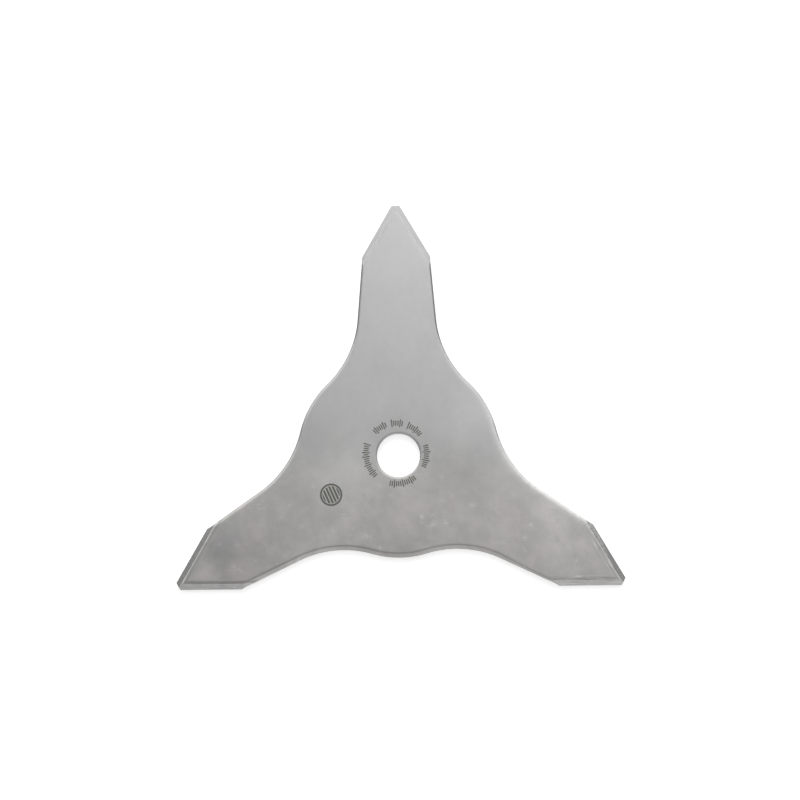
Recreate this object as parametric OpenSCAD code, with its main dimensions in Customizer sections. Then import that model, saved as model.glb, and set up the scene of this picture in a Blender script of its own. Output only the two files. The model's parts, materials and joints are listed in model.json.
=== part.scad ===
// Three-tooth brush cutter blade, one flat steel plate.
// Millimetres. The bore's axis is Z, the underside lies at z = 0 and the first arm points along +Y.

/* [Plate] */
// Diameter of the circle that the tooth tips sweep
cut_d = 300; // [255:1:360]
// Thickness of the plate
plate_t = 4; // [3:0.1:5]
// Diameter of the bore for the arbor
bore_d = 25.4; // [20:0.1:31]

/* [Teeth] */
// Width of the flat that ends each tooth
tip_w = 5; // [3:0.5:8]
// Angle between the two cutting edges of a tooth
point_angle = 60; // [50:1:72]
// Width of a tooth across its shoulders
head_w = 41; // [34:0.5:49]
// Length of the parallel land below each shoulder
land_len = 3; // [1:0.5:6]
// Width of the ground bevels, square to the cutting edge
bevel_w = 3; // [1.5:0.1:4]
// Thickness that the bevels leave at the cutting edge
edge_t = 0.8; // [0.3:0.1:1.6]

/* [Arms and hub] */
// Angle by which each side of an arm flares towards the hub
flare_angle = 4.75; // [0:0.25:8]
// Radius of the hollow that leads from an arm into the hub
root_r = 60; // [45:1:72]
// Radius of the hub's outline between two arms
lobe_r = 58; // [46:1:69]
// Distance of that outline's centre from the bore's axis
lobe_shift = 1.8; // [0:0.1:6]

/* [Edges] */
// Width of the rolled edge around the upper face
roll_w = 3.4; // [2:0.1:4.5]
// Depth of the rolled edge at the side wall
roll_depth = 0.95; // [0.6:0.05:1.2]
// Width of the rolled rim at the top of the bore
rim_w = 1.2; // [0.6:0.1:2]
// Depth of that rim at the bore's wall
rim_depth = 0.4; // [0.2:0.1:0.8]
// Width and depth of the broken edges on the underside
break_w = 0.4; // [0.2:0.05:0.8]

/* [Hidden] */
$fn = 240;

arms = 3;
sector = 360 / arms;
bay_angle = 90 - sector / 2; // direction of the middle of the bay beside the first arm
tip_r = cut_d / 2;
head_hw = head_w / 2;
bevel_depth = (plate_t - edge_t) / 2;
crease = 4; // angle at which a rolled edge leaves its face
clear = 2; // how far the cutters run past the metal
lap = 1; // degrees by which the hollows' edge cutters run over their neighbours
hair = 0.02; // by which those cutters are shallower

// Right-hand half of the first arm, from the tip down
half_point = point_angle / 2;
tip_pt = [tip_w / 2, tip_r];
shoulder_pt = [head_hw, tip_r - (head_hw - tip_w / 2) / tan(half_point)];
land_pt = shoulder_pt - [0, land_len];
side_dir = [sin(flare_angle), -cos(flare_angle)];
side_out = [cos(flare_angle), sin(flare_angle)];

// The hollow's arc is tangent to the side of the arm and to the hub's lobe:
// its centre lies root_r off the side and root_r + lobe_r from the lobe's centre
lobe_ctr = lobe_shift * [cos(bay_angle), sin(bay_angle)];
ctr_r = root_r + lobe_r;
from_lobe = land_pt + side_out * root_r - lobe_ctr;
along = from_lobe * side_dir;
side_len = -along - sqrt(along * along - (from_lobe * from_lobe - ctr_r * ctr_r));
side_end = land_pt + side_dir * side_len;
root_ctr = side_end + side_out * root_r;
root_to_lobe = lobe_ctr - root_ctr;
root_from = 180 + flare_angle;
root_to = 180 + atan(root_to_lobe.y / root_to_lobe.x);
lobe_half = root_to - 180 - bay_angle;

module each_arm() {
    for (k = [0 : arms - 1])
        rotate(k * sector) children();
}

module both_sides() {
    children();
    mirror([1, 0, 0]) children();
}

function turned(pts, angle) =
    [for (p = pts) [p.x * cos(angle) - p.y * sin(angle), p.x * sin(angle) + p.y * cos(angle)]];
function mirrored(pts) = [for (i = [len(pts) - 1 : -1 : 0]) [-pts[i].x, pts[i].y]];

// The outline in straight lines, clockwise, reaching out to the centres of the hollows
module blank() {
    half = [tip_pt, shoulder_pt, land_pt, side_end, root_ctr, lobe_ctr];
    arm = concat(mirrored([for (i = [0 : len(half) - 2]) half[i]]), half);
    polygon([for (k = [0 : arms - 1]) each turned(arm, -k * sector)]);
}

// The stamped plate: the blank with the hub's lobes, less the six hollows
module plate() {
    difference() {
        union() {
            linear_extrude(plate_t) blank();
            each_arm() translate(lobe_ctr) cylinder(r = lobe_r, h = plate_t);
        }
        each_arm() both_sides()
            translate([root_ctr.x, root_ctr.y, -clear]) cylinder(r = root_r, h = plate_t + 2 * clear);
    }
}

// What a rolled edge loses: x runs outwards from the side wall and y up from the face.
// The arc starts w inside the wall at the face and passes depth below it at the wall
module roll_profile(w, depth) {
    roll_r = norm([w, depth]) / 2 / sin(atan(depth / w) - crease);
    ctr = [-w - roll_r * sin(crease), -roll_r * cos(crease)];
    difference() {
        translate([ctr.x, -2 * depth]) square([clear - ctr.x, clear + 2 * depth]);
        translate(ctr) circle(roll_r);
    }
}

// What a straight bevel loses, in the same frame
module bevel_profile(w, depth) {
    rise = clear * depth / w;
    polygon([[-w - clear, rise], [clear, -depth - rise], [clear, rise]]);
}

// A profile carried along a straight edge that faces outwards at the angle facing
module straight_run(from, facing, len) {
    translate(from) rotate([90, 0, facing]) linear_extrude(len) children();
}

// A profile carried round an edge of radius r, with the metal outside the radius or inside it
module hollow_run(r, from, to) {
    rotate(from) rotate_extrude(angle = to - from) translate([r, 0]) mirror([1, 0]) children();
}

module lobe_run(r, from, to) {
    rotate(from) rotate_extrude(angle = to - from) translate([r, 0]) children();
}

// Cutters for the outline's edges, to be taken off one kind after the other.
// The hollows' cutters lap over their neighbours' ends and are shallower by a hair,
// so that no skin is left where two of them meet
module side_cuts() {
    above = 2 * land_len + bevel_w + roll_w;
    each_arm() both_sides()
        straight_run(land_pt - side_dir * above, flare_angle, side_len + above) children();
}

module hollow_cuts() {
    each_arm() both_sides() translate(root_ctr)
        hollow_run(root_r - hair, root_from - lap, root_to + lap) children();
}

module lobe_cuts() {
    each_arm() translate(lobe_ctr)
        lobe_run(lobe_r, bay_angle - lobe_half, bay_angle + lobe_half) children();
}

// What the grinding wheel takes off a face along the right-hand cutting edge of the first arm
module bevel_cut() {
    edge_len = norm(shoulder_pt - tip_pt);
    over_len = bevel_w / tan(half_point) + clear;
    edge_dir = (shoulder_pt - tip_pt) / edge_len;
    straight_run(tip_pt - edge_dir * over_len, half_point, edge_len + 2 * over_len)
        bevel_profile(bevel_w, bevel_depth);
}

module bevel_cuts() {
    each_arm() both_sides() bevel_cut();
}

// Carries cutters drawn for a face at z = 0, with the metal below it, to the face they are for
module on_upper() {
    translate([0, 0, plate_t]) children();
}

module on_under() {
    mirror([0, 0, 1]) children();
}

module plate_less_sides() {
    difference() {
        plate();
        on_upper() side_cuts() roll_profile(roll_w, roll_depth);
        on_under() side_cuts() bevel_profile(break_w, break_w);
    }
}

module plate_less_hollows() {
    difference() {
        plate_less_sides();
        on_upper() hollow_cuts() roll_profile(roll_w, roll_depth);
        on_under() hollow_cuts() bevel_profile(break_w, break_w);
    }
}

module plate_less_edges() {
    difference() {
        plate_less_hollows();
        on_upper() lobe_cuts() roll_profile(roll_w, roll_depth);
        on_under() lobe_cuts() bevel_profile(break_w, break_w);
    }
}

module blade() {
    color("silver") difference() {
        plate_less_edges();
        translate([0, 0, -clear]) cylinder(d = bore_d, h = plate_t + 2 * clear);
        on_upper() hollow_run(bore_d / 2, 0, 360) roll_profile(rim_w, rim_depth);
        on_under() hollow_run(bore_d / 2, 0, 360) bevel_profile(break_w, break_w);
        on_upper() bevel_cuts();
        on_under() bevel_cuts();
    }
}

blade();
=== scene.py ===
import json
import math

import bpy
import numpy as np
from mathutils import Matrix, Vector


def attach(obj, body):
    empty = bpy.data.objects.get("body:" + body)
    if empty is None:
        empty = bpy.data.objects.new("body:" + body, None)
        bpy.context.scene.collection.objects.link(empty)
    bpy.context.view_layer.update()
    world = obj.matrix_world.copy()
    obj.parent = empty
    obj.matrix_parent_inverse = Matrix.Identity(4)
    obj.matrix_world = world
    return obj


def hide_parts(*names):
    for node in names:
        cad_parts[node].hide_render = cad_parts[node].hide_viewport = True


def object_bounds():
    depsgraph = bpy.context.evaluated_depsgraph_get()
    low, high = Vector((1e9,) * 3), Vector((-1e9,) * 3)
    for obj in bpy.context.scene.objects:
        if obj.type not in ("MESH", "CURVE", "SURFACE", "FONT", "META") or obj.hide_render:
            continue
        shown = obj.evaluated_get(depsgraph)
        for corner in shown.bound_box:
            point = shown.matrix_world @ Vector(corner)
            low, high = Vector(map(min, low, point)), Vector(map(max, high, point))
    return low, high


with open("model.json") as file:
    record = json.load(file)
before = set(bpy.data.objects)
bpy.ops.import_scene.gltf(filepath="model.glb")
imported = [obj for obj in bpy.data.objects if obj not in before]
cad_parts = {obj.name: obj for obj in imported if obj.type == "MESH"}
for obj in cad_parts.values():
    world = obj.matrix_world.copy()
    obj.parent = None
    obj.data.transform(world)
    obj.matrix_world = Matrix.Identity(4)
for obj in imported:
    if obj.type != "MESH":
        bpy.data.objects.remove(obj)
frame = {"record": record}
cadLow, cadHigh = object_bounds()
print("frame loaded, box in mm:", [round(1000 * (b - a), 1) for a, b in zip(cadLow, cadHigh)])

mm = 0.001
bore = next(m for m in frame["record"]["mounts"] if m["name"] == "bore")

# the blade's sizes, millimetres and degrees; the main ones come from the frame
plate = {
    "tipRadius": 1000 * cadHigh[1],
    "thickness": 1000 * (cadHigh[2] - cadLow[2]),
    "boreRadius": bore["dims"]["r_mm"],
    "tipFlat": 5.0,
    "pointAngle": 60.0,
    "headWidth": 41.0,
    "landLength": 3.0,
    "flareAngle": 4.75,
    "rootRadius": 60.0,
    "lobeRadius": 58.0,
    "lobeShift": 1.8,
    "bevelWidth": 3.2,
    "edgeThickness": 0.8,
    "rollSlopes": (32.0, 20.0, 27.0),
    "rollWidths": (0.95, 1.50, 2.15),
    "rollSofts": (0.15, 0.35, 0.45),
    "rollFade": (50.0, 80.0, 0.8),
    "edgeRound": 0.16,
    "rimReach": 1.7,
    "rimCrease": 4.0,
    "toothReach": 6.2,
    "toothCreases": (1.5, 5.0, 3.0),
    # how strong each tooth's band inside the bevel is, partly stain and partly painted shade
    "toothStainsAndShade": (0.0, 1.0, 0.3),
    # how strong each tooth's painted crease highlight is
    "toothCreaseHighlights": (0.1, 1.0, 0.7),
    "rimWidth": 1.2,
    "rimDepth": 0.4,
    "breakWidth": 0.4,
    "leastFlat": 0.3,
    "softCrease": 0.07,
    "rollWaver": 0.05,
    "seed": 7,
}


def direction(degrees):
    return np.array([math.cos(math.radians(degrees)), math.sin(math.radians(degrees))])


def outlineCorners(p):
    # half of one arm: tip flat, cutting edge at half the point angle, land, flared side,
    # then a hollow tangent to the side and to the hub's lobe
    half = p["headWidth"] / 2
    flat = p["tipFlat"] / 2
    tip = np.array([flat, p["tipRadius"]])
    drop = (half - flat) / math.tan(math.radians(p["pointAngle"] / 2))
    shoulder = np.array([half, p["tipRadius"] - drop])
    land = shoulder - [0, p["landLength"]]
    sideOut = direction(p["flareAngle"])
    sideDown = np.array([sideOut[1], -sideOut[0]])
    lobeCentre = p["lobeShift"] * direction(30)
    reach = p["rootRadius"] + p["lobeRadius"]
    gap = land + sideOut * p["rootRadius"] - lobeCentre
    along = gap @ sideDown
    sideLength = -along - math.sqrt(along ** 2 - gap @ gap + reach ** 2)
    sideEnd = land + sideDown * sideLength
    rootCentre = sideEnd + sideOut * p["rootRadius"]
    toLobe = lobeCentre - rootCentre
    rootTo = math.atan2(toLobe[1], toLobe[0]) % (2 * math.pi)
    return {
        "tip": tip, "shoulder": shoulder, "land": land, "sideEnd": sideEnd,
        "cutOut": direction(p["pointAngle"] / 2), "sideOut": sideOut, "sideDown": sideDown,
        "sideLength": sideLength, "rootCentre": rootCentre, "lobeCentre": lobeCentre,
        "rootFrom": math.radians(180 + p["flareAngle"]), "rootTo": rootTo,
        "lobeFrom": rootTo - math.pi, "lobeTo": math.radians(30),
    }


corners = outlineCorners(plate)
runCounts = {"flat": 5, "cut": 62, "land": 7, "side": 40, "hollow": 58, "lobe": 22}


def crossing(pointA, normalA, pointB, normalB, inset):
    # where two straight edges meet after both have moved inwards by each inset
    rows = np.array([normalA, normalB])
    right = np.stack([pointA @ normalA - inset, pointB @ normalB - inset], axis=1)
    return right @ np.linalg.inv(rows).T


def halfRings(inset):
    # points of the half outline for each inset: every straight run goes from one mitred
    # corner to the next, and every arc keeps its centre and changes its radius
    inset = np.asarray(inset, float)
    c = corners
    up, out = np.array([0.0, 1.0]), np.array([1.0, 0.0])
    # far in, where the two cutting edges' lines would meet, a narrow flat is kept at the tip
    tip = crossing(c["tip"], up, c["tip"], c["cutOut"], inset)
    narrow = np.maximum(tip[:, 0], plate["leastFlat"])
    tip = np.stack([narrow, (c["tip"] @ c["cutOut"] - inset - narrow * c["cutOut"][0]) / c["cutOut"][1]], axis=1)
    nodes = [
        tip * [0, 1],
        tip,
        crossing(c["shoulder"], c["cutOut"], c["shoulder"], out, inset),
        crossing(c["land"], out, c["land"], c["sideOut"], inset),
        c["sideEnd"][None] - inset[:, None] * c["sideOut"],
    ]
    rings = []
    for name, start, end in zip(("flat", "cut", "land", "side"), nodes[:-1], nodes[1:]):
        s = np.arange(runCounts[name]) / runCounts[name]
        rings.append(start[:, None] + s[None, :, None] * (end - start)[:, None])
    a = c["rootFrom"] + (c["rootTo"] - c["rootFrom"]) * np.arange(runCounts["hollow"]) / runCounts["hollow"]
    radius = (plate["rootRadius"] + inset)[:, None, None]
    rings.append(c["rootCentre"] + radius * np.stack([np.cos(a), np.sin(a)], axis=1))
    a = np.linspace(c["lobeFrom"], c["lobeTo"], runCounts["lobe"] + 1)
    radius = (plate["lobeRadius"] - inset)[:, None, None]
    rings.append(c["lobeCentre"] + radius * np.stack([np.cos(a), np.sin(a)], axis=1))
    return np.concatenate(rings, axis=1)


def wholeRings(inset):
    # six copies of the half outline, every second one mirrored, clockwise round the blade
    half = halfRings(inset)
    mirrored = half[:, :0:-1] * [-1, 1]
    parts = []
    for k in range(3):
        for points, turn in ((half[:, :-1], -120 * k), (mirrored, -120 * (k + 1))):
            cs, sn = direction(turn)
            parts.append(points @ np.array([[cs, sn], [-sn, cs]]))
    return np.concatenate(parts, axis=1)


def folded(xy):
    # any point of the blade carried to the right-hand half of the first arm
    radius = np.hypot(xy[..., 0], xy[..., 1])
    turn = np.degrees(np.arctan2(xy[..., 0], xy[..., 1]))
    turn = np.radians(np.abs((turn + 60) % 120 - 60))
    return np.stack([radius * np.sin(turn), radius * np.cos(turn)], axis=-1)


def edgeDistances(xy):
    # distance inwards from the cutting edge's line, and from the side, hollow or lobe
    c = corners
    q = folded(xy)
    toCut = (c["shoulder"] - q) @ c["cutOut"]
    side = (c["land"] - q) @ c["sideOut"]
    fromRoot = q - c["rootCentre"]
    hollow = np.hypot(fromRoot[..., 0], fromRoot[..., 1]) - plate["rootRadius"]
    lobe = plate["lobeRadius"] - np.hypot(*np.moveaxis(q - c["lobeCentre"], -1, 0))
    angle = np.arctan2(fromRoot[..., 1], fromRoot[..., 0]) % (2 * math.pi)
    toSide = np.where(angle < c["rootTo"], hollow, lobe)
    toSide = np.where((q - c["land"]) @ c["sideDown"] < c["sideLength"], side, toSide)
    return toCut, toSide


def smoothStep(value, low, high):
    t = np.clip((value - low) / (high - low), 0, 1)
    return t * t * (3 - 2 * t)


def softMax(a, b, soft):
    return (a + b + np.sqrt((a - b) ** 2 + soft ** 2)) / 2


def arcDrop(inside, width, depth, crease):
    # an arc that leaves the face at a small crease, width inside the wall, and is depth lower there
    crease = math.radians(crease)
    radius = math.hypot(width, depth) / 2 / math.sin(math.atan2(depth, width) - crease)
    across = np.clip(width - inside, 0, None) + radius * math.sin(crease)
    return radius * math.cos(crease) - np.sqrt(radius ** 2 - across ** 2)


def rollDrop(inside, width, soft, slope):
    # a rolled edge: a slope of a given width that eases into the face
    return np.tan(np.radians(slope)) * soft * np.logaddexp(0, (width - inside) / soft)


def roundDrop(inside):
    # the quarter round that ends the roll at the side wall
    radius = plate["edgeRound"]
    short = np.clip(radius - inside, 0, radius)
    return 0.8 * (radius - np.sqrt(radius ** 2 - short ** 2))


def easeDrop(inside, start, reach, slope):
    # the face's slow fall towards an edge: no slope at reach, the full slope at start
    fall = np.clip(reach - inside, 0, reach - start)
    return np.tan(np.radians(slope)) * fall ** 2 / (reach - start) / 2


bevelDepth = (plate["thickness"] - plate["edgeThickness"]) / 2


def bevelDrop(toCut, creaseDrop):
    return creaseDrop + (bevelDepth - creaseDrop) * (1 - toCut / plate["bevelWidth"])


def waver(count, smooth):
    # slow random waver along the outline, closed on itself and a few per cent deep
    random = np.random.default_rng(plate["seed"])
    waves = np.fft.rfft(random.standard_normal(count))
    waves *= np.exp(-(np.arange(len(waves)) / smooth) ** 2)
    line = np.fft.irfft(waves, count)
    return plate["rollWaver"] * line / np.abs(line).max()


def toothOf(xy):
    # 0 for the first arm, 1 for the left one and 2 for the right one
    return np.round((np.degrees(np.arctan2(xy[..., 1], xy[..., 0])) - 90) / 120).astype(int) % 3


def upperHeight(xy, rolls, wave):
    p = plate
    toCut, toSide = edgeDistances(xy)
    roll = rollDrop(toSide, *rolls) * (1 + wave)
    crease = np.array(p["toothCreases"])[toothOf(xy)]
    face = easeDrop(toCut, p["bevelWidth"], p["toothReach"], crease)
    bevel = bevelDrop(toCut, easeDrop(p["bevelWidth"], p["bevelWidth"], p["toothReach"], crease))
    return p["thickness"] - softMax(bevel, softMax(roll, face, 0.02), p["softCrease"])


def underHeight(xy):
    toCut, toSide = edgeDistances(xy)
    drop = softMax(bevelDrop(toCut, 0), plate["breakWidth"] - toSide, plate["softCrease"])
    return softMax(drop, 0, plate["softCrease"] / 2)


def bladeGrid():
    # the grid's first parameter runs across the section: upper face from the edge to the
    # bore, down the bore's wall, underside back to the edge, up the side wall;
    # its second parameter runs round the outline
    p = plate
    # rings lie close together at the edge and at the bevel's crease
    width = p["bevelWidth"]
    upperInsets = np.concatenate([[0, 0.04, 0.12, 0.25, 0.45, 0.7], np.linspace(1, width - 0.3, 6),
                                  width + np.array([-0.15, -0.05, 0.05, 0.15]),
                                  np.linspace(width + 0.4, p["toothReach"] + 0.2, 8)])
    underInsets = np.concatenate([width + np.array([0.5, 0.15, 0, -0.15]), np.linspace(width - 0.5, 0.75, 5),
                                  [0.5, 0.4, 0.3, 0.18, 0.07, 0]])
    upperOut = wholeRings(upperInsets)
    underOut = wholeRings(underInsets)
    count = upperOut.shape[1]
    wave = waver(count, 60)
    # the roll differs where the edge faces +Y, where it faces -Y and at the first arm's sides;
    # the edge's outward direction is square to the outline's own
    ahead = np.roll(upperOut[0], -1, axis=0) - np.roll(upperOut[0], 1, axis=0)
    outY = ahead[:, 0] / np.hypot(ahead[:, 0], ahead[:, 1])
    fadeFrom, fadeTo, fadeShare = p["rollFade"]
    near = smoothStep(outY, -0.1, -0.5) * (1 - fadeShare * smoothStep(upperOut[0][:, 0], fadeFrom, fadeTo))
    far = smoothStep(outY, 0.1, 0.5)
    sides = 1 - near - far
    rolls = [sides * roll[0] + far * roll[1] + near * roll[2]
             for roll in (p["rollWidths"], p["rollSofts"], p["rollSlopes"])]

    heading = np.arctan2(upperOut[-1, :, 1], upperOut[-1, :, 0])
    spoke = np.stack([np.cos(heading), np.sin(heading)], axis=1)
    rimSteps = np.array([1.7, 1.35, 1.2, 1.05, 0.8, 0.55, 0.3, 0.12, 0.04, 0])
    rim = (p["boreRadius"] + rimSteps)[:, None, None] * spoke
    underSteps = np.array([0, 0.07, 0.2, 0.33, 0.45, 0.8])
    underRim = (p["boreRadius"] + underSteps)[:, None, None] * spoke

    def between(outer, inner, steps):
        s = (np.arange(1, steps) / steps)[:, None, None]
        return outer + s * (inner - outer)

    rimDrop = arcDrop(rimSteps, p["rimWidth"], p["rimDepth"], p["rimCrease"])
    rimDrop = rimDrop + easeDrop(rimSteps, p["rimWidth"], p["rimReach"], p["rimCrease"])
    rimDrop = rimDrop + np.array([0] * 8 + [0.03, 0.09])
    underDrop = softMax(p["breakWidth"] - underSteps, 0, p["softCrease"] / 2) + np.array([0.06] + [0] * 5)

    def level(heights):
        return np.repeat(np.asarray(heights, float)[:, None], count, axis=1)

    upperZ = upperHeight(upperOut, rolls, wave) - roundDrop(upperInsets)[:, None]
    underZ = underHeight(underOut)
    underZ[-1] += 0.06
    acrossUpper = between(upperOut[-1], rim[0], 9)
    acrossUnder = between(underRim[-1], underOut[0], 5)
    wallSteps = np.array([0.2, 0.4, 0.6, 0.8])[:, None]
    blocks = [
        (upperOut, upperZ),
        (acrossUpper, level([p["thickness"]] * len(acrossUpper))),
        (rim, level(p["thickness"] - rimDrop)),
        (np.repeat(rim[-1:], 2, axis=0), level([2.7, 1.3])),
        (underRim, level(underDrop)),
        (acrossUnder, level([0] * len(acrossUnder))),
        (underOut, underZ),
        (np.repeat(underOut[-1:], 4, axis=0), underZ[-1] + wallSteps * (upperZ[0] - underZ[-1])),
    ]
    xy = np.concatenate([b[0] for b in blocks])
    z = np.concatenate([b[1] for b in blocks])
    return xy, z, (sides, far, near)


def gridMesh(name, xy, z):
    # one quad for each cell of a grid that closes on itself both ways
    rows, cols = z.shape
    points = np.concatenate([xy, z[..., None]], axis=-1).reshape(-1, 3) * mm
    r, c = np.meshgrid(np.arange(rows), np.arange(cols), indexing="ij")
    r2, c2 = (r + 1) % rows, (c + 1) % cols
    quads = np.stack([r * cols + c, r2 * cols + c, r2 * cols + c2, r * cols + c2], axis=-1).reshape(-1, 4)
    a, b, d = points[quads[:, 0]], points[quads[:, 1]], points[quads[:, 3]]
    if np.einsum("ij,ij->i", a, np.cross(b, d)).sum() < 0:
        quads = quads[:, ::-1]
    mesh = bpy.data.meshes.new(name)
    mesh.vertices.add(len(points))
    mesh.vertices.foreach_set("co", points.ravel())
    mesh.loops.add(quads.size)
    mesh.loops.foreach_set("vertex_index", quads.ravel().astype(np.int32))
    mesh.polygons.add(len(quads))
    mesh.polygons.foreach_set("loop_start", np.arange(0, quads.size, 4, dtype=np.int32))
    mesh.polygons.foreach_set("use_smooth", np.ones(len(quads), bool))
    mesh.update(calc_edges=True)
    mesh.validate()
    return mesh


def addAttribute(mesh, name, values):
    layer = mesh.attributes.new(name, "FLOAT", "POINT")
    layer.data.foreach_set("value", np.ascontiguousarray(values, np.float32).ravel())


def buildBlade():
    xy, z, (sides, far, near) = bladeGrid()
    mesh = gridMesh("bladePlate", xy, z)
    toCut, toSide = edgeDistances(xy)
    q = folded(xy)
    edgeDown = np.array([corners["cutOut"][1], -corners["cutOut"][0]])
    ground = (1 - np.tanh((toCut - plate["bevelWidth"]) / 0.1)) / 2
    # painted highlight: a light line along each tooth's bevel crease, stronger on some teeth
    crease = np.exp(-((toCut - plate["bevelWidth"] - 0.05) / 0.17) ** 2) * np.array(plate["toothCreaseHighlights"])[toothOf(xy)]
    # painted highlight: the far side of the right-hand arm's edge is painted bright in its colour
    facing = np.degrees(np.arctan2(xy[..., 1], xy[..., 0]))
    paintedEdgeHighlight = np.exp(-(np.clip(toSide, 0, None) / 2.9) ** 2) * (1 - np.clip((np.abs(facing) - 22) / 14, 0, 1))
    paintedEdgeHighlight = paintedEdgeHighlight * (xy @ direction(60) > 8) * (toCut > plate["bevelWidth"])
    # the right arm's upper bevel narrows to a wedge towards its shoulder, and is coloured lighter beside it
    along = (q - corners["tip"]) @ edgeDown
    wedge = plate["bevelWidth"] * (1 - smoothStep(along, 6, 32))
    lighterBevel = smoothStep(toCut, wedge - 0.3, wedge + 0.3) * ground * (toothOf(xy) == 2) * (facing > -30)
    # and a painted highlight line runs beside the very edge of the far sides
    paintedEdgeHighlight = np.maximum(paintedEdgeHighlight, 0.5 * np.exp(-((toSide - 0.95) / 0.28) ** 2) * far * (toCut > plate["bevelWidth"]))
    addAttribute(mesh, "lighterBevel", lighterBevel)
    addAttribute(mesh, "ground", ground)
    addAttribute(mesh, "crease", crease)
    addAttribute(mesh, "alongEdge", along)
    addAttribute(mesh, "intoEdge", toCut)
    addAttribute(mesh, "paintedEdgeHighlight", paintedEdgeHighlight)
    addAttribute(mesh, "tooth", toothOf(xy))
    # painted shade lines, darker: a band inside the bevels of each tooth (partly stain, partly painted shade), where a
    # wide roll meets the face, along the first arm's sides, and at the very edge of the far sides
    stainAndShade = np.exp(-((toCut - plate["bevelWidth"] - 1.3) / 0.65) ** 2) * np.array(plate["toothStainsAndShade"])[toothOf(xy)]
    flank = toCut > plate["bevelWidth"] + 0.4
    seam = np.exp(-((toSide - 2.6) / 0.5) ** 2) * (0.45 - 0.2 * (toothOf(xy) == 2)) * near * flank
    sideLine = np.exp(-((toSide - 0.55) / 0.42) ** 2) * 0.85 * sides ** 3 * flank
    rim = np.exp(-(toSide / 0.42) ** 2) * far * flank * (1 - smoothStep(xy[..., 0], 60, 72))
    addAttribute(mesh, "stainAndShade", np.max([stainAndShade, seam, sideLine, rim], axis=0))
    blade = bpy.data.objects.new("bladePlate", mesh)
    bpy.context.scene.collection.objects.link(blade)
    return blade


class Nodes:
    # short calls for laying out a node tree
    def __init__(self, tree):
        self.tree = tree
        tree.nodes.clear()

    def add(self, kind, inputs=None, **settings):
        node = self.tree.nodes.new(kind)
        for key, value in settings.items():
            setattr(node, key, value)
        for key, value in (inputs or {}).items():
            self.put(node.inputs[key], value)
        return node

    def put(self, socket, value):
        if isinstance(value, bpy.types.NodeSocket):
            self.tree.links.new(value, socket)
        else:
            socket.default_value = value

    def math(self, operation, a, b=0.0, c=0.0, clamp=False):
        node = self.add("ShaderNodeMath", {0: a, 1: b, 2: c}, operation=operation, use_clamp=clamp)
        return node.outputs[0]

    def between(self, value, low, high, soft):
        # 1 where low < value < high, with soft ends
        rise = self.ramp(value, low - soft, low + soft)
        fall = self.ramp(value, high + soft, high - soft)
        return self.math("MULTIPLY", rise, fall)

    def ramp(self, value, low, high, toLow=0.0, toHigh=1.0, smooth=True):
        node = self.add("ShaderNodeMapRange", {"Value": value, "From Min": low, "From Max": high,
                                               "To Min": toLow, "To Max": toHigh},
                        interpolation_type="SMOOTHSTEP" if smooth else "LINEAR")
        return node.outputs["Result"]

    def noise(self, vector, scale, detail=3.0, rough=0.55):
        node = self.add("ShaderNodeTexNoise", {"Vector": vector, "Scale": scale, "Detail": detail,
                                               "Roughness": rough})
        return node.outputs["Fac"]

    def stretched(self, vector, scale, turn=0.0):
        node = self.add("ShaderNodeMapping", {"Vector": vector, "Scale": scale,
                                              "Rotation": (0, 0, math.radians(turn))})
        return node.outputs["Vector"]

    def timesColor(self, a, b):
        node = self.add("ShaderNodeMix", {}, data_type="RGBA", blend_type="MULTIPLY")
        self.put(node.inputs["Factor"], 1.0)
        self.put(node.inputs["A"], a)
        self.put(node.inputs["B"], b)
        return node.outputs["Result"]

    def mixColor(self, factor, a, b):
        node = self.add("ShaderNodeMix", {}, data_type="RGBA")
        self.put(node.inputs["Factor"], factor)
        self.put(node.inputs["A"], a)
        self.put(node.inputs["B"], b)
        return node.outputs["Result"]


steelLook = {
    "pale": (0.588, 0.588, 0.588, 1),
    "deep": (0.550, 0.550, 0.550, 1),
    "groundColor": (0.572, 0.57, 0.568, 1),
    # light colour of wear, scratches and flecks, and of the painted highlights
    "wearAndHighlightColor": (0.905, 0.90, 0.893, 1),
    "lighterBevelColor": (1.0, 0.995, 0.99, 1),
    "markColor": (0.17, 0.175, 0.15, 1),
    # dark colour of dark flecks and streaks, and of the bands and painted shade lines
    "stainAndShadeColor": (0.36, 0.36, 0.34, 1),
    "roughness": 0.31,
    "groundRoughness": 0.25,
    "markRoughness": 0.6,
    "cloudScale": 22,
    "patchScale": 90,
    "patchDepth": 0.07,
    "fleckScale": 190,
    "fleckWhere": 42,
    "lightFlecks": 0.46,
    "darkFlecks": 0.30,
    "tintDepths": (0.006, 0.024),
    "handledFrom": 0.030,
    "handledTo": -0.050,
    "handledLeast": 0.12,
    "warm": (1.030, 1.0, 0.974, 1),
    "cool": (1.0, 1.0, 1.0, 1),
    "speckScale": 260,
    "chipScale": 420,
    "scratchScale": (90, 900, 90),
    "brushScale": (30, 900, 30),
    "bumpDepth": 0.00002,
}

# painted sheen, partly random tone: lighter and darker areas of the faces' colour; place in mm, radius, and how much
# lighter
paintedSheens = [
    (-31, -12, 15, 0.20), (33, -11, 18, -0.12), (50, 27, 18, 0.13), (69, -3, 10, 0.16), (89, -31, 14, 0.20),
    (94, -58, 14, 0.14), (6, -54, 14, -0.10), (-42, -48, 12, 0.06), (-98, -58, 14, -0.15), (-112, -56, 6, -0.14),
    (-113, -67, 6, 0.09), (-50, 10, 14, -0.06), (34, 14, 12, 0.07), (72, -42, 9, -0.07), (-16, 34, 16, 0.05),
]

# where the flecks gather or thin out: place in mm, radius, and how much more of them
gathers = [(92, -44, 13, 0.28), (32, -38, 16, -0.10), (-60, -42, 14, 0.05)]

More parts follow.
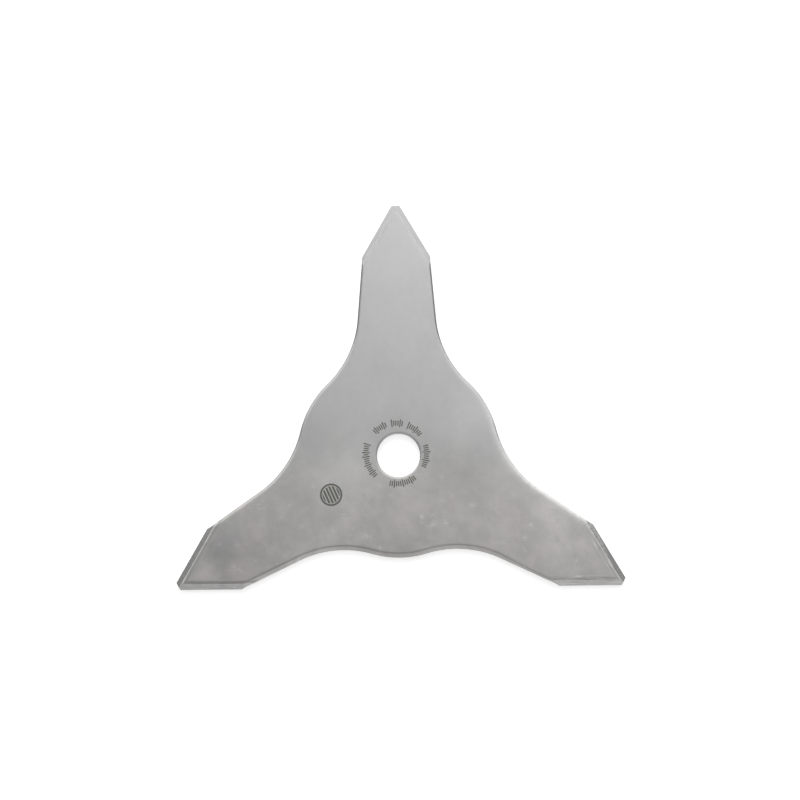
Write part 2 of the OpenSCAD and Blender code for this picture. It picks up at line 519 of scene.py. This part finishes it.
# plain marks in place of printing: strokes round the bore, and a hatched disc
marks = {
    "groups": [(108, 136), (76, 100), (36, 68), (-28, 16), (-104, -52), (160, 180), (-180, -132)],
    "ringCentre": (-1.3, 1.2),
    "innerRadius": 15.5,
    "outerRadius": 20.2,
    "strokeStep": 4.0,
    "discCentre": (-39.8, -22.6),
    "discRadius": 6.6,
    "hatchStep": 1.9,
    "turn": 24,
}


def markMask(n, place):
    split = n.add("ShaderNodeSeparateXYZ", {"Vector": place}).outputs
    x = n.math("MULTIPLY_ADD", split["X"], 1000.0, -marks["ringCentre"][0])
    y = n.math("MULTIPLY_ADD", split["Y"], 1000.0, -marks["ringCentre"][1])
    radius = n.math("SQRT", n.math("ADD", n.math("MULTIPLY", x, x), n.math("MULTIPLY", y, y)))
    angle = n.math("MULTIPLY", n.math("ARCTAN2", y, x), 180 / math.pi)
    # evenly spaced strokes, every fourth one longer, as on a plain scale
    step = n.math("DIVIDE", angle, marks["strokeStep"])
    v = n.ramp(radius, marks["innerRadius"], marks["outerRadius"], smooth=False)
    share = n.between(n.math("FRACT", step), 0.22, 0.78, 0.06)
    longer = n.math("LESS_THAN", n.math("FLOORED_MODULO", n.math("FLOOR", step), 4.0), 0.5)
    short = n.math("MULTIPLY_ADD", longer, -0.17, 0.18)
    inside = n.math("MULTIPLY", n.math("GREATER_THAN", v, short),
                    n.math("LESS_THAN", v, n.math("SUBTRACT", 1.0, short)))
    groups = 0.0
    for start, end in marks["groups"]:
        groups = n.math("MAXIMUM", groups, n.between(angle, start, end, 0.2))
    ring = n.math("MULTIPLY", n.math("MULTIPLY", share, inside), groups)
    dx = n.math("SUBTRACT", x, marks["discCentre"][0] - marks["ringCentre"][0])
    dy = n.math("SUBTRACT", y, marks["discCentre"][1] - marks["ringCentre"][1])
    discR = n.math("SQRT", n.math("ADD", n.math("MULTIPLY", dx, dx), n.math("MULTIPLY", dy, dy)))
    cs, sn = direction(marks["turn"])
    along = n.math("ADD", n.math("MULTIPLY", dx, float(cs)), n.math("MULTIPLY", dy, float(sn)))
    hatch = n.between(n.math("FRACT", n.math("DIVIDE", along, marks["hatchStep"])), 0.14, 0.80, 0.08)
    core = n.math("MULTIPLY", hatch, n.math("LESS_THAN", discR, marks["discRadius"] - 1.5))
    rim = n.between(discR, marks["discRadius"] - 1.1, marks["discRadius"], 0.1)
    disc = n.math("MAXIMUM", core, rim)
    upper = n.math("GREATER_THAN", split["Z"], (plate["thickness"] - 0.05) * mm)
    return n.math("MULTIPLY", n.math("MAXIMUM", ring, disc), upper)


def steelMaterial():
    material = bpy.data.materials.new("bladeSteel")
    material.use_nodes = True
    n = Nodes(material.node_tree)
    look = steelLook
    place = n.add("ShaderNodeTexCoord").outputs["Object"]

    def attribute(name):
        return n.add("ShaderNodeAttribute", attribute_name=name).outputs["Fac"]

    # the crease and edge masks carry painted highlights
    ground, crease, paintedEdgeHighlight = attribute("ground"), attribute("crease"), attribute("paintedEdgeHighlight")
    mark = markMask(n, place)
    clouds = n.noise(place, look["cloudScale"], 4.0, 0.6)
    specks = n.noise(place, look["speckScale"], 2.0, 0.5)
    brush = n.noise(n.stretched(place, look["brushScale"], 35), 1.0, 3.0, 0.6)
    blend = n.ramp(n.math("ADD", n.math("MULTIPLY", clouds, 0.8), n.math("MULTIPLY", specks, 0.2)), 0.35, 0.65)
    color = n.mixColor(blend, look["deep"], look["pale"])
    patches = n.noise(place, look["patchScale"], 5.0, 0.66)
    # the two near arms are more handled: warmer and more patchy
    nearness = n.ramp(n.add("ShaderNodeSeparateXYZ", {"Vector": place}).outputs["Y"],
                      look["handledFrom"], look["handledTo"], look["handledLeast"], 1.0)
    tone = n.math("MULTIPLY", n.ramp(patches, 0.3, 0.7, -look["patchDepth"], look["patchDepth"]), nearness)

    def softAreas(total, areas):
        # adds to total each area's share, which falls as exp(-(distance / radius) ** 2)
        for x, y, radius, more in areas:
            away = n.add("ShaderNodeVectorMath", {0: place, 1: (x * mm, y * mm, plate["thickness"] * mm)},
                         operation="DISTANCE").outputs["Value"]
            away = n.math("DIVIDE", away, radius * mm)
            fall = n.math("EXPONENT", n.math("MULTIPLY", n.math("MULTIPLY", away, away), -1.0))
            total = n.math("ADD", total, n.math("MULTIPLY", fall, more))
        return total

    # painted sheen: the areas' lighter and darker shares go into the face colour's tone
    tone = softAreas(n.math("ADD", tone, 1.0), paintedSheens)
    gather = softAreas(0.0, gathers)
    warmth = n.math("MULTIPLY", n.ramp(clouds, 0.3, 0.7, 0.6, 1.0), n.ramp(nearness, look["handledLeast"], 1.0))
    color = n.timesColor(color, n.mixColor(warmth, look["cool"], look["warm"]))
    color = n.timesColor(color, n.add("ShaderNodeCombineColor", {0: tone, 1: tone, 2: tone}).outputs[0])
    tint = n.add("ShaderNodeTexNoise", {"Vector": place, "Scale": look["patchScale"], "Detail": 2.0}).outputs["Color"]
    leftness = n.ramp(n.add("ShaderNodeSeparateXYZ", {"Vector": place}).outputs["X"], -0.07, -0.11, *look["tintDepths"])
    depth = n.math("MULTIPLY", nearness, leftness)
    tint = n.add("ShaderNodeVectorMath", {0: n.add("ShaderNodeVectorMath", {0: tint, 1: (0.5, 0.5, 0.5)},
                                                   operation="SUBTRACT").outputs[0]}, operation="NORMALIZE").outputs[0]
    tint = n.add("ShaderNodeVectorMath", {0: tint, "Scale": depth}, operation="SCALE").outputs[0]
    tint = n.add("ShaderNodeVectorMath", {0: tint, 1: (1.0, 1.0, 1.0)}, operation="ADD").outputs[0]
    color = n.timesColor(color, tint)
    color = n.mixColor(n.math("MULTIPLY", ground, 0.8), color, look["groundColor"])
    # short scratches in three directions, then light and dark flecks in loose groups
    handled = n.ramp(nearness, look["handledLeast"], 1.0, 0.15, 1.0)
    scratches = 0.0
    for turn, shift in ((-62, 0.0), (20, 0.4), (75, 0.8)):
        aside = n.add("ShaderNodeVectorMath", {0: place, 1: (shift, 0.3 * shift, 0.0)}, operation="ADD").outputs[0]
        line = n.noise(n.stretched(aside, look["scratchScale"], turn), 1.0, 3.0, 0.7)
        where = n.noise(aside, look["fleckWhere"], 2.0, 0.5)
        scratches = n.math("MAXIMUM", scratches, n.math("MULTIPLY", n.ramp(line, 0.62, 0.72), n.ramp(where, 0.52, 0.62)))
    color = n.mixColor(n.math("MULTIPLY", scratches, n.math("MULTIPLY", handled, 0.3)), color, look["wearAndHighlightColor"])
    for shift, depth, tone in ((1.3, look["lightFlecks"], look["wearAndHighlightColor"]), (2.1, look["darkFlecks"], look["stainAndShadeColor"])):
        aside = n.add("ShaderNodeVectorMath", {0: place, 1: (shift, 0.3 * shift, 0.0)}, operation="ADD").outputs[0]
        fleck = n.ramp(n.noise(aside, look["fleckScale"], 5.0, 0.7), 0.55, 0.72)
        where = n.ramp(n.math("ADD", n.noise(aside, look["fleckWhere"], 2.0, 0.5), gather), 0.48, 0.60)
        fleck = n.math("MULTIPLY", n.math("MULTIPLY", fleck, where), handled)
        color = n.mixColor(n.math("MULTIPLY", fleck, depth), color, tone)
    # light and dark streaks that the grinding has left along the cutting edges
    into = attribute("intoEdge")
    lane = n.add("ShaderNodeCombineXYZ", {"X": n.math("MULTIPLY", attribute("alongEdge"), 0.11),
                                          "Y": n.math("MULTIPLY", into, 1.9),
                                          "Z": n.math("MULTIPLY", attribute("tooth"), 7.3)}).outputs[0]
    lane = n.noise(lane, 1.0, 3.0, 0.6)
    beside = n.math("MULTIPLY", n.between(into, 0.6, 6.0, 0.8), n.ramp(attribute("tooth"), 0.0, 2.0, 0.45, 1.0, smooth=False))
    color = n.mixColor(n.math("MULTIPLY", beside, n.ramp(lane, 0.55, 0.66, 0.0, 0.65)), color, look["wearAndHighlightColor"])
    color = n.mixColor(n.math("MULTIPLY", beside, n.ramp(lane, 0.45, 0.34, 0.0, 0.55)), color, look["stainAndShadeColor"])
    # painted shade lines and tooth bands, broken up by the clouds
    stainAndShade = n.math("MULTIPLY", attribute("stainAndShade"), n.ramp(clouds, 0.3, 0.7, 0.5, 1.0))
    color = n.mixColor(stainAndShade, color, look["stainAndShadeColor"])
    patchy = n.ramp(n.noise(place, look["chipScale"], 3.0, 0.6), 0.40, 0.62)
    # painted highlight: the creases' light lines and the bright far edges, broken up by patchy noise
    paintedHighlights = n.math("MULTIPLY", crease, n.ramp(patchy, 0.0, 1.0, 0.4, 1.0))
    paintedHighlights = n.math("MAXIMUM", paintedHighlights, n.math("MULTIPLY", paintedEdgeHighlight, n.ramp(patchy, 0.0, 1.0, 0.65, 0.95)))
    color = n.mixColor(paintedHighlights, color, look["wearAndHighlightColor"])
    # the right arm's upper bevel, lighter in colour beside the wedge
    lighterBevel = n.math("MULTIPLY", attribute("lighterBevel"), n.ramp(patchy, 0.0, 1.0, 0.25, 0.6))
    color = n.mixColor(lighterBevel, color, look["lighterBevelColor"])
    color = n.mixColor(n.math("MULTIPLY", mark, 0.92), color, look["markColor"])
    rough = n.math("ADD", look["roughness"], n.math("MULTIPLY", n.math("SUBTRACT", clouds, 0.5), 0.12))
    rough = n.add("ShaderNodeMix", {"Factor": ground, "A": rough, "B": look["groundRoughness"]}).outputs["Result"]
    rough = n.add("ShaderNodeMix", {"Factor": mark, "A": rough, "B": look["markRoughness"]}).outputs["Result"]

    across = n.add("ShaderNodeCombineXYZ", {"X": n.math("MULTIPLY", attribute("alongEdge"), 6.0),
                                            "Y": n.math("MULTIPLY", attribute("intoEdge"), 0.5)}).outputs[0]
    grind = n.noise(across, 1.0, 3.0, 0.65)
    height = n.math("ADD", n.math("MULTIPLY", brush, 0.6), n.math("MULTIPLY", specks, 0.5))
    height = n.add("ShaderNodeMix", {"Factor": ground, "A": height, "B": grind}).outputs["Result"]
    height = n.math("SUBTRACT", height, n.math("MULTIPLY", mark, 0.8))
    bump = n.add("ShaderNodeBump", {"Height": height, "Strength": 0.25, "Distance": look["bumpDepth"]})
    shader = n.add("ShaderNodeBsdfPrincipled", {"Base Color": color, "Metallic": 1.0, "Roughness": rough,
                                                "Normal": bump.outputs["Normal"]})
    output = n.add("ShaderNodeOutputMaterial")
    n.tree.links.new(shader.outputs[0], output.inputs["Surface"])
    return material


# the room, as the metal mirrors it: its level against the angle from straight up towards +Y,
# a dark strip low on the near side, dark walls at both sides, and a weaker left than right
room = {
    "upRamp": [(-90, 0.57), (-50, 0.60), (0, 0.60), (8, 0.665), (18, 0.73), (30, 0.92), (42, 1.05), (90, 1.00)],
    "strip": (-21, -9),
    "stripSoft": 5,
    "stripDepth": 0.76,
    "sides": (40, 48),
    "sideLevel": 0.26,
    "leftFrom": -30,
    "leftMost": -14,
    "leftLevels": (1.15, 0.86),
    "rightFrom": 6,
    "rightTo": 30,
    "rightLevels": (1.20, 1.08),
}


def buildRoom():
    world = bpy.data.worlds.new("studio")
    bpy.context.scene.world = world
    world.use_nodes = True
    n = Nodes(world.node_tree)
    toward = n.add("ShaderNodeSeparateXYZ", {"Vector": n.add("ShaderNodeTexCoord").outputs["Generated"]}).outputs
    degrees = 180 / math.pi
    upAngle = n.math("MULTIPLY", n.math("ARCTAN2", toward["Y"], toward["Z"]), degrees)
    turnAngle = n.math("MULTIPLY", n.math("ARCTAN2", toward["X"], toward["Z"]), degrees)
    sideAngle = n.math("MULTIPLY", n.math("ARCSINE", n.math("ABSOLUTE", toward["X"])), degrees)
    level = room["upRamp"][0][1]
    for (fromAngle, fromLevel), (toAngle, toLevel) in zip(room["upRamp"][:-1], room["upRamp"][1:]):
        rise = n.add("ShaderNodeMapRange", {"Value": upAngle, "From Min": fromAngle, "From Max": toAngle,
                                            "To Min": 0.0, "To Max": toLevel - fromLevel})
        level = n.math("ADD", level, rise.outputs["Result"])
    strip = n.between(upAngle, *room["strip"], room["stripSoft"])
    strip = n.math("MULTIPLY", strip, room["stripDepth"])
    side = n.ramp(sideAngle, *room["sides"], 1.0, room["sideLevel"])
    farLeft = n.ramp(turnAngle, room["leftFrom"], room["leftMost"], *room["leftLevels"])
    turn = n.ramp(turnAngle, room["leftMost"], room["rightFrom"], room["leftLevels"][1], room["rightLevels"][0])
    farRight = n.ramp(turnAngle, room["rightFrom"], room["rightTo"], 0.0, room["rightLevels"][1] - room["rightLevels"][0])
    turn = n.math("ADD", n.math("MAXIMUM", farLeft, turn), farRight)
    level = n.math("MULTIPLY", n.math("MULTIPLY", level, side), turn)
    level = n.math("MULTIPLY", level, n.math("SUBTRACT", 1.0, strip))
    studio = n.add("ShaderNodeBackground", {"Color": (1, 1, 1, 1), "Strength": level})
    white = n.add("ShaderNodeBackground", {"Color": (1, 1, 1, 1), "Strength": 1.0})
    seen = n.add("ShaderNodeLightPath").outputs["Is Camera Ray"]
    mix = n.add("ShaderNodeMixShader", {0: seen, 1: studio.outputs[0], 2: white.outputs[0]})
    output = n.add("ShaderNodeOutputWorld")
    n.tree.links.new(mix.outputs[0], output.inputs["Surface"])


floorLook = {"size": 12.0, "drop": 0.0001, "color": (0.80, 0.80, 0.80, 1), "lift": 0.53}


def buildFloor():
    half = floorLook["size"] / 2
    z = -floorLook["drop"]
    mesh = bpy.data.meshes.new("floor")
    mesh.from_pydata([(-half, -half, z), (half, -half, z), (half, half, z), (-half, half, z)], [], [(0, 1, 2, 3)])
    floor = bpy.data.objects.new("floor", mesh)
    bpy.context.scene.collection.objects.link(floor)
    material = bpy.data.materials.new("floorWhite")
    material.use_nodes = True
    n = Nodes(material.node_tree)
    path = n.add("ShaderNodeLightPath").outputs
    seen = n.math("ADD", n.math("ADD", path["Is Camera Ray"], path["Is Glossy Ray"]), path["Is Transmission Ray"], clamp=True)
    plain = n.add("ShaderNodeBsdfDiffuse", {"Color": floorLook["color"]})
    glow = n.add("ShaderNodeEmission", {"Color": (1, 1, 1, 1), "Strength": n.math("MULTIPLY", seen, floorLook["lift"])})
    both = n.add("ShaderNodeAddShader", {0: plain.outputs[0], 1: glow.outputs[0]})
    output = n.add("ShaderNodeOutputMaterial")
    n.tree.links.new(both.outputs[0], output.inputs["Surface"])
    mesh.materials.append(material)


# lamps: one large and faint over the first arm, one low and far behind it for the soft shadow
lamps = {
    "overhead": {"place": (0.03, 0.36, 0.70), "size": 0.40, "power": 0.15, "mirrored": True},
    "behind": {"place": (-0.10, 1.60, 1.10), "size": 1.00, "power": 15.5, "mirrored": False},
}


def buildLamp(name, look):
    data = bpy.data.lights.new(name, "AREA")
    data.shape = "DISK"
    data.size = look["size"]
    data.energy = look["power"]
    light = bpy.data.objects.new(name, data)
    bpy.context.scene.collection.objects.link(light)
    light.location = look["place"]
    light.visible_glossy = look["mirrored"]
    light.rotation_euler = Vector(look["place"]).to_track_quat("Z", "Y").to_euler()


# the view: tilt, yaw and roll of the camera over the blade, and its distance
viewSet = {
    "tilt": -5.834,
    "yaw": -1.477,
    "roll": 0.714,
    "focalPixels": 1324.0,
    "imagePixels": 800,
    "borePixel": (398.43, 455.37),
    "pixelsPerMm": 1.701,
}


def buildCamera():
    v = viewSet
    turn = (Matrix.Rotation(math.radians(v["tilt"]), 3, "X")
            @ Matrix.Rotation(math.radians(v["yaw"]), 3, "Y")
            @ Matrix.Rotation(math.radians(v["roll"]), 3, "Z"))
    distance = v["focalPixels"] / v["pixelsPerMm"] * mm
    middle = v["imagePixels"] / 2
    px, py = v["borePixel"]
    # the bore's centre in the camera's own axes
    seen = Vector((px - middle, middle - py, -v["focalPixels"])) * (distance / v["focalPixels"])
    back = turn.transposed()
    place = Vector((0, 0, plate["thickness"] * mm)) - back @ seen
    data = bpy.data.cameras.new("camera")
    data.sensor_width = 36.0
    data.lens = v["focalPixels"] / v["imagePixels"] * 36.0
    data.clip_start = 0.01
    data.clip_end = 50
    camera = bpy.data.objects.new("camera", data)
    bpy.context.scene.collection.objects.link(camera)
    camera.matrix_world = Matrix.Translation(place) @ back.to_4x4()
    bpy.context.scene.camera = camera


bpy.context.scene.view_settings.view_transform = "Standard"
buildCamera()
print("camera placed")
blade = buildBlade()
blade.data.materials.append(steelMaterial())
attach(blade, "root")
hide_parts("blade")
print("blade built,", len(blade.data.polygons), "faces")
buildFloor()
buildRoom()
for name, look in lamps.items():
    buildLamp(name, look)
print("studio built")
